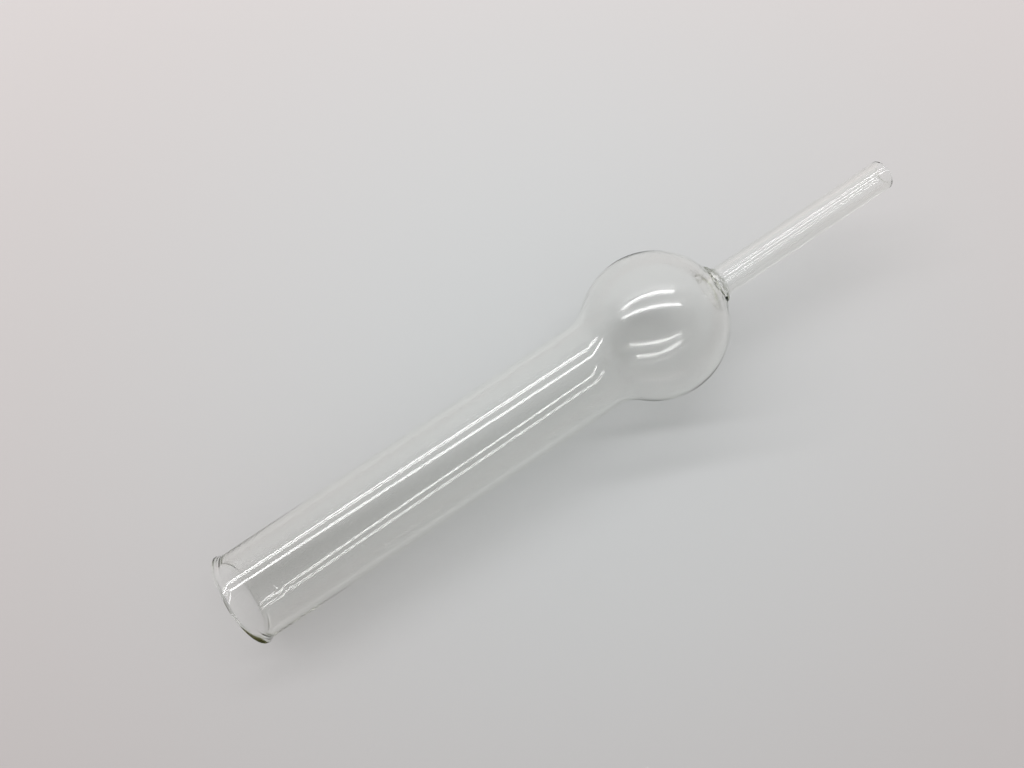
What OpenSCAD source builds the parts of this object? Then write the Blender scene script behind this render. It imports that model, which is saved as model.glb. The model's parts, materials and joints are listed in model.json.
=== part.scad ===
// Straight drying tube of blown glass: a wide open tube, a round bulb and a narrow stem, all one piece.
// It is drawn standing on its mouth, as one turned outline, and is then laid down as it rests on a table.
// Lengths along it are measured from the open mouth.

/* [Overall] */
// length from the open mouth to the tip of the stem
total_length = 150; // [135:1:200]
// distance from the open mouth to the middle of the bulb
bulb_centre = 94.6; // [80:0.2:112]

/* [Wide tube] */
// outside diameter of the wide tube
tube_diameter = 18; // [14:0.5:21]
// glass thickness of the wide tube, which sets the bore that the stopper fits
tube_wall = 1.2; // [0.8:0.1:2]
// how far the melted lip stands out beyond the wide tube
lip_flare = 0.5; // [0.2:0.1:1.2]

/* [Bulb] */
// outside diameter of the bulb
bulb_diameter = 29.2; // [25:0.2:40]
// glass thickness of the bulb
bulb_wall = 1; // [0.8:0.1:1.6]
// radius of the hollow curve that leads from the wide tube into the bulb
shoulder_radius = 7; // [4:0.5:12]

/* [Stem] */
// outside diameter of the narrow stem, which a hose slides over
stem_diameter = 6; // [5:0.25:8]
// glass thickness of the stem
stem_wall = 1; // [0.7:0.1:1.4]
// how far the thick ring stands out beyond the stem, where the stem is melted onto the bulb
seam_flare = 1.45; // [1:0.05:2.5]
// thickness of that ring along the stem
seam_width = 1.8; // [1.4:0.1:2.6]
// how far the ring sits beyond the point where the bulb has narrowed to the ring's own size
seam_rise = 0.6; // [0.5:0.1:1]
// radius of the small hollow curve between the ring and the stem
seam_curve = 1.2; // [0.6:0.1:2]

/* [Hidden] */
$fn = 96;
// a hollow curve sinks this far into what it joins, so that the two outlines cross
sink = 0.005;
// a melted edge is this much thicker than the wall it ends
swell = 0.1;
// shapes that are joined or cut reach this far past where they need to
spare = 1;

tube_r = tube_diameter / 2;
bore_r = tube_r - tube_wall;
bulb_r = bulb_diameter / 2;
cavity_r = bulb_r - bulb_wall;
stem_r = stem_diameter / 2;
stem_bore_r = stem_r - stem_wall;

// the melted lip is a ring of round section
lip_r = tube_r + lip_flare;
lip_bead_r = (tube_wall + lip_flare + swell) / 2;
lip_ring_r = lip_r - lip_bead_r;

// the melted tip of the stem is one too, but it keeps the stem's outside size so that a hose slides on
tip_bead_r = (stem_wall + swell) / 2;
tip_ring_r = stem_r - tip_bead_r;

// and so is the seam, which sits on the bulb and is part sunk in its wall
seam_r = stem_r + seam_flare;
seam_bead_r = seam_width / 2;
seam_ring_r = seam_r - seam_bead_r;
seam_at = bulb_centre + sqrt(bulb_r * bulb_r - seam_r * seam_r) + seam_rise;

// at rest the lip and the bulb both touch the table, so the stem's end is tilted up
lip_to_bulb = bulb_centre - lip_bead_r;
tilt = asin((bulb_r - lip_bead_r) / norm([lip_to_bulb, lip_ring_r])) - atan(lip_ring_r / lip_to_bulb);
mouth_height = lip_bead_r + lip_ring_r * cos(tilt) - lip_bead_r * sin(tilt);

// reach of the tilted piece to each side of its mouth's middle, to centre it above the origin
reach_back = lip_bead_r * cos(tilt) - lip_ring_r * sin(tilt) - lip_bead_r;
reach_front = (total_length - tip_bead_r) * cos(tilt) + tip_ring_r * sin(tilt) + tip_bead_r;
mouth_x = -(reach_back + reach_front) / 2;

// which sub-part to draw

// the half of a disc that lies beside the turning axis
module half_disc(radius) {
    intersection() {
        circle(r = radius);
        translate([0, -radius - spare])
            square([radius + spare, 2 * (radius + spare)]);
    }
}

// fills the hollow corner where a straight side meets a round one; side is -1 below the round, 1 above it
module hollow_curve(side_r, round_r, round_x, round_z, curve_r, side) {
    curve_x = side_r + curve_r - sink;
    reach = round_r + curve_r - sink;
    curve_z = round_z + side * sqrt(reach * reach - (curve_x - round_x) * (curve_x - round_x));
    inner_x = max(0, min(side_r, round_x) - spare);
    corners = [[round_x, round_z], [curve_x, curve_z], [inner_x, curve_z], [inner_x, round_z]];
    difference() {
        // the corners are taken the same way round on either side, so that the pieces join up
        polygon(side > 0 ? corners : [for (i = [3:-1:0]) corners[i]]);
        translate([curve_x, curve_z])
            circle(r = curve_r);
    }
}

module outer_outline() {
    translate([0, lip_bead_r])
        square([tube_r, bulb_centre - lip_bead_r]);
    translate([lip_ring_r, lip_bead_r])
        circle(r = lip_bead_r);
    hollow_curve(tube_r, bulb_r, 0, bulb_centre, shoulder_radius, -1);
    translate([0, bulb_centre])
        half_disc(bulb_r);
    translate([0, bulb_centre])
        square([stem_r, total_length - tip_bead_r - bulb_centre]);
    translate([tip_ring_r, total_length - tip_bead_r])
        circle(r = tip_bead_r);
}

module cavity_outline() {
    translate([0, -spare])
        square([bore_r, bulb_centre + spare]);
    hollow_curve(bore_r, cavity_r, 0, bulb_centre, shoulder_radius + tube_wall, -1);
    translate([0, bulb_centre])
        half_disc(cavity_r);
}

// the ring of thick glass at the seam
module seam_outline() {
    translate([seam_ring_r, seam_at])
        circle(r = seam_bead_r);
    hollow_curve(stem_r, seam_bead_r, seam_ring_r, seam_at, seam_curve, 1);
}

module glass_outline() {
    difference() {
        union() {
            difference() {
                outer_outline();
                cavity_outline();
            }
            seam_outline();
        }
        translate([0, bulb_centre])
            square([stem_bore_r, total_length - bulb_centre + spare]);
    }
}

module glass_tube() {
    color([0.86, 0.9, 0.87, 0.35])
        translate([mouth_x, 0, mouth_height])
            rotate([0, 90 - tilt, 0])
                rotate_extrude()
                    glass_outline();
}

glass_tube();
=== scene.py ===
import json
import math

import bpy
from mathutils import Matrix, Vector


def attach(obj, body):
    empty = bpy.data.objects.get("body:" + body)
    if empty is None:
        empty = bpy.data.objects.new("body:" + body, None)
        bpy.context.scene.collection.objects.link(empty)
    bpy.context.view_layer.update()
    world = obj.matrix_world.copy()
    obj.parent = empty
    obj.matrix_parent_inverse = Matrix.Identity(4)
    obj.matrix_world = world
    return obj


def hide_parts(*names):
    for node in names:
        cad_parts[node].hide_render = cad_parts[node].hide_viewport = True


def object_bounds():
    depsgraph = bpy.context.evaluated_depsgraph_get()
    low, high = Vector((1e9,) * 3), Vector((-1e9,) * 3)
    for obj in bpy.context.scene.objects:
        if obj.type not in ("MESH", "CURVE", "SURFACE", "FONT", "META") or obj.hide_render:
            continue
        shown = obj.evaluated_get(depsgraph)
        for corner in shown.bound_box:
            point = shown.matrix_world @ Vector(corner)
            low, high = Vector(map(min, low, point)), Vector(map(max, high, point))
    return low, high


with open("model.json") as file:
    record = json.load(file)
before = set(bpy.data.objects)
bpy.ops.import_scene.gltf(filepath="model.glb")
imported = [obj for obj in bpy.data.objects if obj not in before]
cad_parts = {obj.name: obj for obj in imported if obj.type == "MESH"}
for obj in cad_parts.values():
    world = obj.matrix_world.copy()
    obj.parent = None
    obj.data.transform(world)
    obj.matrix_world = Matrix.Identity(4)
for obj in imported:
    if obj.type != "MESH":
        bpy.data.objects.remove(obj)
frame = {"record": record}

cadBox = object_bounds()
mm = 0.001
farWay = (0.56, 0.83, 0)        # level, from the viewer's side towards the lamps

# the blown glass, in millimetres; places along it are measured from the open mouth
glass = {
    "length": 150,
    "tubeRadius": 9,
    "tubeWall": 1.2,
    "lipFlare": 0.48,           # how far the melted lip stands out beyond the tube
    "lipReach": 2.2,            # how much of the tube opens out towards the lip
    "lipCurl": 1.5,             # 1 is a straight cone, more keeps the opening out near the end
    "lipSwell": 0.2,            # how much the wall thickens on each side at the lip
    "lipSteps": 14,             # lengths that the opening is drawn in
    "lipFlats": ((172, 30, 0.25),),     # turn, reach to each side and share lost, where it's flatter
    "bulbCentre": 94.6,
    "bulbRadius": 14.58,
    "bulbWall": 1,
    "shoulder": 7,              # radius of the hollow curve from the tube to the bulb
    "stemRadius": 3,
    "stemWall": 1,
    "weldAt": 108.95,           # middle of the ring where the stem is melted on
    "weldRing": 3.65,           # radius of the circle that the ring follows
    "weldBead": 0.6,            # radius of the ring's own section
    "weldCurve": 1.8,           # hollow curve from the ring to the stem
    "weldUneven": 1.5,          # how lumpy the hand-made ring is
    "weldLump": 1.2,            # size of one lump
    "weldInside": 0.1,          # share of that which shows inside
    "weldBelow": 0.35,          # share of that which shows on the underside
    "weldClear": 0.05,          # the stem's own sides stay even to this far out
    "funnel": 0.5,              # rounded corner inside, where the bulb leads into the stem
    "tipBead": 0.55,            # radius of the stem's melted tip
    # spots of thicker glass, with painted shade where they are seen along their edge: place along it,
    # turn, reach along it, reach round it, and how much thicker and darker
    "thickSpots": (
        (99, 105, 11.5, 34, 1.02),      # on the bulb, at the back
        (99, -80, 12.5, 34, 1.1),       # on the bulb, in front
        (85.5, -82, 9, 30, 0.86),       # on the shoulder below it
        (149.8, 105, 0.8, 40, 1.3),     # on the tip
        (149.8, -70, 0.8, 32, 2.2),
        (0.1, -117, 1.4, 33, 3.9),      # on the lip
        (0.15, -174, 0.9, 17, 1.5),
    ),
    "softReach": 13,            # the bulb is a little less glossy this far to each side of its middle
    "softFade": 4,              # and over this length that sets in
    "mouthAhead": 0.6,          # how far the mouth lies in front of the mount of its bore
    "mergeWithin": 0.002,       # points this near become one
    "turns": 288,               # steps round the axis
    "straightParts": 4,         # lengths that a straight side is drawn in
    # degrees from point to point on each curve
    "step": {"lip": 9, "shoulder": 3, "bulb": 2, "weld": 10, "weldCurve": 6, "tip": 12, "funnel": 10},
}


def arc(centre, radius, start, end, step):
    count = max(2, round(abs(end - start) / step))
    angles = [math.radians(start + (end - start) * i / count) for i in range(count + 1)]
    return [(centre[0] + radius * math.cos(a), centre[1] + radius * math.sin(a)) for a in angles]


def angleOf(centre, point):
    return math.degrees(math.atan2(point[1] - centre[1], point[0] - centre[0]))


def tangentCentre(sideRadius, ballRadius, ballCentre, curve, way):
    # middle of a round corner that touches both a straight side and a ball; way is -1 before the ball
    across = sideRadius + curve
    reach = ballRadius + curve
    along = math.sqrt(reach ** 2 - (across - ballCentre[0]) ** 2)
    return (across, ballCentre[1] + way * along)


def circlesMeet(centreA, radiusA, centreB, radiusB):
    gap = math.dist(centreA, centreB)
    toChord = (gap ** 2 + radiusA ** 2 - radiusB ** 2) / (2 * gap)
    half = math.sqrt(radiusA ** 2 - toChord ** 2)
    ux, uy = (centreB[0] - centreA[0]) / gap, (centreB[1] - centreA[1]) / gap
    return (centreA[0] + toChord * ux + half * uy, centreA[1] + toChord * uy - half * ux)


def lipEnd(g):
    # the lip's round end reaches this far along the tube
    return g["tubeWall"] / 2 + g["lipSwell"]


def wallAt(g, along):
    # middle and half thickness of the tube's wall, which opens out and thickens towards the lip
    half = g["tubeWall"] / 2
    near = max(0, (g["lipReach"] - along) / (g["lipReach"] - lipEnd(g))) ** g["lipCurl"]
    return (g["tubeRadius"] - half + (g["lipFlare"] - g["lipSwell"]) * near, half + g["lipSwell"] * near)


def between(start, end, parts):
    # the points inside a straight side, without its ends
    shares = [i / parts for i in range(1, parts)]
    return [(start[0] + (end[0] - start[0]) * k, start[1] + (end[1] - start[1]) * k) for k in shares]


def glassOutline(g):
    bulb = (0, g["bulbCentre"])
    cavity = g["bulbRadius"] - g["bulbWall"]
    bore = g["tubeRadius"] - g["tubeWall"]
    step = g["step"]
    parts = g["straightParts"]

    # the lip's round end, then the outside of the tube
    end = lipEnd(g)
    middle, half = wallAt(g, end)
    points = arc((middle, end), half, -180, 0, step["lip"])
    opening = [end + (g["lipReach"] - end) * i / g["lipSteps"] for i in range(1, g["lipSteps"] + 1)]
    points += [(sum(wallAt(g, along)), along) for along in opening]

    # shoulder and bulb
    outer = tangentCentre(g["tubeRadius"], g["bulbRadius"], bulb, g["shoulder"], -1)
    points += between((g["tubeRadius"], 0), (g["tubeRadius"], outer[1]), parts)
    points += arc(outer, g["shoulder"], 180, angleOf(outer, bulb), step["shoulder"])
    weld = (g["weldRing"], g["weldAt"])
    meet = circlesMeet(bulb, g["bulbRadius"], weld, g["weldBead"])
    points += arc(bulb, g["bulbRadius"], angleOf(bulb, outer), angleOf(bulb, meet), step["bulb"])[1:]

    # melted ring, its hollow curve, the stem and its tip
    curl = tangentCentre(g["stemRadius"], g["weldBead"], weld, g["weldCurve"], 1)
    points += arc(weld, g["weldBead"], angleOf(weld, meet), angleOf(weld, curl), step["weld"])[1:]
    points += arc(curl, g["weldCurve"], angleOf(curl, weld) + 360, 180, step["weldCurve"])[1:]
    tip = (g["stemRadius"] - g["tipBead"], g["length"] - g["tipBead"])
    points += between((g["stemRadius"], curl[1]), (g["stemRadius"], tip[1]), parts)
    points += [(g["stemRadius"], tip[1] - g["tipBead"])]
    passage = g["stemRadius"] - g["stemWall"]
    intoTip = math.degrees(math.acos((passage - tip[0]) / g["tipBead"]))
    points += arc(tip, g["tipBead"], 0, intoTip, step["tip"])

    # back down the passage and round the inside
    across = passage + g["funnel"]
    corner = (across, bulb[1] + math.sqrt((cavity + g["funnel"]) ** 2 - across ** 2))
    points += [(passage, tip[1] - g["tipBead"])]
    points += between((passage, tip[1]), (passage, corner[1]), parts)
    points += arc(corner, g["funnel"], 180, angleOf(corner, bulb) + 360, step["funnel"])
    inner = tangentCentre(bore, cavity, bulb, g["shoulder"] + g["tubeWall"], -1)
    points += arc(bulb, cavity, angleOf(bulb, corner), angleOf(bulb, inner), step["bulb"])[1:]
    points += arc(inner, g["shoulder"] + g["tubeWall"], angleOf(inner, bulb), 180, step["shoulder"])[1:]
    points += between((bore, inner[1]), (bore, 0), parts)
    points += [(wallAt(g, along)[0] - wallAt(g, along)[1], along) for along in reversed(opening)]
    return points


def drawLine(points):
    # a flat plate is merged to one point, and the line grows from it
    bpy.ops.object.select_all(action="DESELECT")
    bpy.ops.mesh.primitive_plane_add(size=mm, location=(0, 0, 0))
    bpy.ops.object.mode_set(mode="EDIT")
    bpy.ops.mesh.select_all(action="SELECT")
    bpy.ops.mesh.merge(type="CENTER")
    bpy.ops.transform.translate(value=(points[0][0] * mm, 0, points[0][1] * mm))
    for last, point in zip(points, points[1:]):
        move = ((point[0] - last[0]) * mm, 0, (point[1] - last[1]) * mm)
        bpy.ops.mesh.extrude_vertices_move(TRANSFORM_OT_translate={"value": move})
    bpy.ops.mesh.select_all(action="SELECT")


def unevenWeld(piece, g):
    # the outside of the ring is lumpy, its inside less so, and both fade out to each side
    group = piece.vertex_groups.new(name="weld")
    fade = g["weldBead"] + g["weldCurve"] / 2
    for v in piece.data.vertices:
        across = math.hypot(v.co.x, v.co.y) / mm
        along = v.co.z / mm
        near = 1 - abs(along - g["weldAt"]) / fade
        inside = math.hypot(across, along - g["bulbCentre"]) < g["bulbRadius"] - g["bulbWall"] / 2
        above = (1 - v.co.x / mm / across) / 2
        side = g["weldBelow"] + (1 - g["weldBelow"]) * above
        if near > 0 and across > g["stemRadius"] + g["weldClear"]:
            group.add([v.index], near * side * (g["weldInside"] if inside else 1), "REPLACE")
    lumps = bpy.data.textures.new("lumps", "CLOUDS")
    lumps.noise_scale = g["weldLump"] * mm
    displace = piece.modifiers.new("lumps", "DISPLACE")
    displace.texture = lumps
    displace.texture_coords = "LOCAL"
    displace.vertex_group = "weld"
    displace.strength = g["weldUneven"] * mm
    bpy.ops.object.modifier_apply(modifier="lumps")
    piece.vertex_groups.clear()


def turnFrom(turn, middle):
    return (turn - middle + 180) % 360 - 180


def unevenLip(piece, g):
    # the end was melted by hand, so parts of it stayed flatter
    group = piece.vertex_groups.new(name="lip")
    end = lipEnd(g)
    for v in piece.data.vertices:
        depth = 1 - v.co.z / mm / end
        if depth > 0:
            turn = math.degrees(math.atan2(v.co.y, v.co.x))
            lost = 0
            for middle, reach, share in g["lipFlats"]:
                away = abs(turnFrom(turn, middle)) / reach
                if away < 1:
                    lost += share * math.cos(away * math.pi / 2) ** 2
            group.add([v.index], depth * lost, "REPLACE")
    displace = piece.modifiers.new("lip", "DISPLACE")
    displace.direction = "Z"
    displace.mid_level = 0
    displace.vertex_group = "lip"
    displace.strength = end * mm
    bpy.ops.object.modifier_apply(modifier="lip")
    piece.vertex_groups.clear()


def markGlass(piece, g):
    # marks for the finish: how much thicker the glass is, which also sets the painted shade on its
    # edges, and how soft its shine
    thick = piece.data.attributes.new("thick", "FLOAT", "POINT")
    soft = piece.data.attributes.new("soft", "FLOAT", "POINT")
    middleOfWall = g["bulbRadius"] - g["bulbWall"] / 2
    for v in piece.data.vertices:
        along = v.co.z / mm
        fromBulb = along - g["bulbCentre"]
        across = math.hypot(v.co.x, v.co.y) / mm
        soft.data[v.index].value = min(1, max(0, (g["softReach"] - abs(fromBulb)) / g["softFade"]))
        if math.hypot(across, fromBulb) < middleOfWall or across < g["stemRadius"] - g["stemWall"] / 2:
            continue        # the thicker spots and their painted shade show on the outside only
        turn = math.degrees(math.atan2(v.co.y, v.co.x))
        found = 0
        for place, middle, reach, reachRound, amount in g["thickSpots"]:
            away = (along - place) / reach
            awayRound = turnFrom(turn, middle) / reachRound
            found = max(found, amount * (1 - away ** 2 - awayRound ** 2))
        thick.data[v.index].value = found


def blowGlass(g):
    outline = glassOutline(g)
    drawLine(outline + outline[:1])
    bpy.ops.mesh.spin(steps=g["turns"], angle=math.tau, center=(0, 0, 0), axis=(0, 0, 1))
    bpy.ops.mesh.select_all(action="SELECT")
    bpy.ops.mesh.remove_doubles(threshold=g["mergeWithin"] * mm)
    bpy.ops.mesh.normals_make_consistent(inside=False)
    bpy.ops.object.mode_set(mode="OBJECT")
    piece = bpy.context.object
    piece.name = "blown_glass"
    bpy.ops.object.shade_smooth()
    unevenLip(piece, g)
    unevenWeld(piece, g)
    markGlass(piece, g)

    # it is laid down: its axis swings from upright to the way it lies
    mount = next(m for m in frame["record"]["mounts"] if m["name"] == "mouth_bore")
    outward = Vector(mount["axis"]).normalized()
    mouth = Vector(mount["pos_m"]) + outward * g["mouthAhead"] * mm
    turn = Vector((0, 0, 1)).rotation_difference(-outward).to_matrix().to_4x4()
    piece.matrix_world = Matrix.Translation(mouth) @ turn
    bpy.ops.object.transform_apply(location=True, rotation=True, scale=True)
    return piece


# what the glass is like; the last two shape the light that goes through it to the paper
finish = {
    "bend": 1.52,                   # how strongly it bends light
    "soft": 0.085,                  # roughness of the bulb, where the rest is quite smooth
    "tint": (0.72, 0.76, 0.60, 1),  # colour seen through a great depth of it
    "tintDepth": 45,                # per metre
    "thickTint": (0.5, 0.5, 0.36, 1),       # painted shade: colour that a thicker spot takes on towards its edge, the glass's own tint deepened
    "edgeStart": 0.55,              # 0 is seen straight on, 1 is the very edge
    "edgeFull": 1.0,
    "shadow": 0.91,                 # share of the light that each surface lets through to the paper
    "shadowEdge": 4,                # how late that drops off towards the edge
}


def clearGlass(f):
    mat = bpy.data.materials.new("clear_glass")
    mat.use_nodes = True
    nodes, links = mat.node_tree.nodes, mat.node_tree.links
    shader = nodes["Principled BSDF"]
    shader.inputs["Base Color"].default_value = (1, 1, 1, 1)
    shader.inputs["IOR"].default_value = f["bend"]
    shader.inputs["Transmission Weight"].default_value = 1
    depth = nodes.new("ShaderNodeVolumeAbsorption")
    depth.inputs["Color"].default_value = f["tint"]
    depth.inputs["Density"].default_value = f["tintDepth"]
    links.new(depth.outputs["Volume"], nodes["Material Output"].inputs["Volume"])

    # the bulb shines a little softer
    soft = nodes.new("ShaderNodeAttribute")
    soft.attribute_name = "soft"
    rough = nodes.new("ShaderNodeMapRange")
    rough.inputs["To Max"].default_value = f["soft"]
    links.new(soft.outputs["Fac"], rough.inputs["Value"])
    links.new(rough.outputs["Result"], shader.inputs["Roughness"])

    # painted shade: thicker spots go dark where they are seen along their edge, through a coat tinted
    # darker than the glass's own colour
    shader.inputs["Coat IOR"].default_value = 1
    shader.inputs["Coat Roughness"].default_value = 0
    shader.inputs["Coat Tint"].default_value = f["thickTint"]
    thick = nodes.new("ShaderNodeAttribute")
    thick.attribute_name = "thick"
    facing = nodes.new("ShaderNodeLayerWeight")
    thickEdge = nodes.new("ShaderNodeMath")
    thickEdge.operation = "MULTIPLY"
    edge = nodes.new("ShaderNodeMapRange")
    edge.interpolation_type = "SMOOTHSTEP"
    edge.inputs["From Min"].default_value = f["edgeStart"]
    edge.inputs["From Max"].default_value = f["edgeFull"]
    links.new(thick.outputs["Fac"], thickEdge.inputs[0])
    links.new(facing.outputs["Facing"], thickEdge.inputs[1])
    links.new(thickEdge.outputs["Value"], edge.inputs["Value"])
    links.new(edge.outputs["Result"], shader.inputs["Coat Weight"])

    # light on its way to the paper goes straight through, and less of it where it grazes the glass
    graze = nodes.new("ShaderNodeMath")
    graze.operation = "POWER"
    graze.inputs[1].default_value = f["shadowEdge"]
    loss = nodes.new("ShaderNodeMixRGB")
    loss.inputs["Color1"].default_value = (f["shadow"], f["shadow"], f["shadow"], 1)
    loss.inputs["Color2"].default_value = (0, 0, 0, 1)
    through = nodes.new("ShaderNodeBsdfTransparent")
    path = nodes.new("ShaderNodeLightPath")
    toPaper = nodes.new("ShaderNodeMath")
    toPaper.operation = "MAXIMUM"
    joined = nodes.new("ShaderNodeMixShader")
    links.new(facing.outputs["Facing"], graze.inputs[0])
    links.new(graze.outputs["Value"], loss.inputs["Fac"])
    links.new(loss.outputs["Color"], through.inputs["Color"])
    links.new(path.outputs["Is Shadow Ray"], toPaper.inputs[0])
    links.new(path.outputs["Is Diffuse Ray"], toPaper.inputs[1])
    links.new(toPaper.outputs["Value"], joined.inputs["Fac"])
    links.new(shader.outputs["BSDF"], joined.inputs[1])
    links.new(through.outputs["BSDF"], joined.inputs[2])
    links.new(joined.outputs["Shader"], nodes["Material Output"].inputs["Surface"])
    return mat


# the sheet of paper it lies on, with painted light in its colours, as they are 0.15 m from the middle
paper = {
    "size": 3,                          # metres
    "near": (0.58, 0.59, 0.59, 1),      # painted darker, towards the viewer
    "far": (0.89, 0.91, 0.915, 1),      # painted lighter, away from the viewer, where the lamps are
    "roughness": 0.9,
    "edge": (1, 0.915, 0.90, 1),        # tint that it takes on further out
    "reach": 0.15,
}


def paperSheet(p):
    bpy.ops.object.select_all(action="DESELECT")
    bpy.ops.mesh.primitive_plane_add(size=p["size"], location=(0, 0, cadBox[0][2]))
    sheet = bpy.context.object
    sheet.name = "paper"
    mat = bpy.data.materials.new("paper")
    mat.use_nodes = True
    nodes, links = mat.node_tree.nodes, mat.node_tree.links
    shader = nodes["Principled BSDF"]
    shader.inputs["Roughness"].default_value = p["roughness"]
    place = nodes.new("ShaderNodeTexCoord")

    # painted light: lighter on the side of the lamps
    along = nodes.new("ShaderNodeVectorMath")
    along.operation = "DOT_PRODUCT"
    along.inputs[1].default_value = farWay
    share = nodes.new("ShaderNodeMapRange")
    share.inputs["From Min"].default_value = -p["reach"]
    share.inputs["From Max"].default_value = p["reach"]
    shade = nodes.new("ShaderNodeMixRGB")
    shade.inputs["Color1"].default_value = p["near"]
    shade.inputs["Color2"].default_value = p["far"]

    # and a little warmer towards its edges
    out = nodes.new("ShaderNodeVectorMath")
    out.operation = "LENGTH"
    further = nodes.new("ShaderNodeMapRange")
    further.interpolation_type = "SMOOTHSTEP"
    further.inputs["From Max"].default_value = p["reach"]
    warm = nodes.new("ShaderNodeMixRGB")
    warm.blend_type = "MULTIPLY"
    warm.inputs["Color2"].default_value = p["edge"]

    links.new(place.outputs["Object"], along.inputs[0])
    links.new(along.outputs["Value"], share.inputs["Value"])
    links.new(share.outputs["Result"], shade.inputs["Fac"])
    links.new(place.outputs["Object"], out.inputs[0])
    links.new(out.outputs["Value"], further.inputs["Value"])
    links.new(further.outputs["Result"], warm.inputs["Fac"])
    links.new(shade.outputs["Color"], warm.inputs["Color1"])
    links.new(warm.outputs["Color"], shader.inputs["Base Color"])
    sheet.data.materials.append(mat)


def placed(place, right, back):
    # the place and turn of a lamp or camera, from where it stands, its right side and its back
    back = Vector(back).normalized()
    right = Vector(right)
    right = (right - right.dot(back) * back).normalized()
    turn = Matrix((right, back.cross(right), back)).transposed().to_4x4()
    return Matrix.Translation(place) @ turn


# two long lamps over it, aimed at it; metres and watts
lamps = {
    "near": {"place": (-0.045, 0.281, 1), "along": (0.906, -0.424, 0), "length": 2, "power": 4},
    "far": {"place": (0.09, 0.686, 1), "along": (0.926, -0.378, 0), "length": 1.9, "power": 5.4},
}
lampWidth = 0.07
lampAim = (0, 0, 0.01)


def barLamp(name, lamp):
    data = bpy.data.lights.new(name, "AREA")
    data.shape = "RECTANGLE"
    data.size, data.size_y = lamp["length"], lampWidth
    data.energy = lamp["power"]
    bar = bpy.data.objects.new(name, data)
    bpy.context.collection.objects.link(bar)
    back = Vector(lamp["place"]) - Vector(lampAim)
    bar.matrix_world = placed(lamp["place"], lamp["along"], back)


# where it is seen from, with its lens in millimetres
viewer = {
    "lens": 33.4,
    "place": (-0.03183, -0.03215, 0.19166),
    "right": (0.8340, -0.5516, -0.0130),
    "back": (-0.1218, -0.2070, 0.9707),
}


def camera(c):
    data = bpy.data.cameras.new("camera")
    data.lens = c["lens"]
    cam = bpy.data.objects.new("camera", data)
    bpy.context.collection.objects.link(cam)
    cam.matrix_world = placed(c["place"], c["right"], c["back"])
    bpy.context.scene.camera = cam


# the room round it: how much light it gives, and how bright its walls look
room = {
    "light": 0.36,
    "near": 0.35,               # behind the viewer
    "far": 1.0,                 # behind the lamps
}


def plainRoom(r):
    world = bpy.data.worlds.new("room")
    bpy.context.scene.world = world
    world.use_nodes = True
    nodes, links = world.node_tree.nodes, world.node_tree.links
    way = nodes.new("ShaderNodeTexCoord")
    along = nodes.new("ShaderNodeVectorMath")
    along.operation = "DOT_PRODUCT"
    along.inputs[1].default_value = farWay
    walls = nodes.new("ShaderNodeMapRange")
    walls.inputs["From Min"].default_value = -1
    walls.inputs["To Min"].default_value = r["near"]
    walls.inputs["To Max"].default_value = r["far"]
    path = nodes.new("ShaderNodeLightPath")
    seen = nodes.new("ShaderNodeMath")
    seen.operation = "MAXIMUM"
    through = nodes.new("ShaderNodeMath")
    through.operation = "MAXIMUM"
    level = nodes.new("ShaderNodeMix")
    level.inputs["A"].default_value = r["light"]
    links.new(way.outputs["Generated"], along.inputs[0])
    links.new(along.outputs["Value"], walls.inputs["Value"])
    links.new(path.outputs["Is Camera Ray"], seen.inputs[0])
    links.new(path.outputs["Is Glossy Ray"], seen.inputs[1])
    links.new(seen.outputs["Value"], through.inputs[0])
    links.new(path.outputs["Is Transmission Ray"], through.inputs[1])
    links.new(through.outputs["Value"], level.inputs["Factor"])
    links.new(walls.outputs["Result"], level.inputs["B"])
    links.new(level.outputs["Result"], nodes["Background"].inputs["Strength"])
    nodes["Background"].inputs["Color"].default_value = (1, 1, 1, 1)


piece = blowGlass(glass)
print("glass blown:", len(piece.data.polygons), "faces")
piece.data.materials.append(clearGlass(finish))
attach(piece, "root")
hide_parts("glass_tube")
print("finish on: clear glass")

paperSheet(paper)
print("paper laid")
for name, lamp in lamps.items():
    barLamp(name + "Lamp", lamp)
plainRoom(room)
print("lit by", len(lamps), "lamps and the room")
camera(viewer)
print("camera placed")

scene = bpy.context.scene
scene.view_settings.view_transform = "Standard"
scene.cycles.blur_glossy = 0        # keeps reflections sharp
scene.cycles.denoising_input_passes = "RGB"     # the others fray the thin edges of clear glass
scene.cycles.max_bounces = 32       # light turns many times inside the lip and the ring
scene.cycles.glossy_bounces = 24
scene.cycles.transmission_bounces = 32
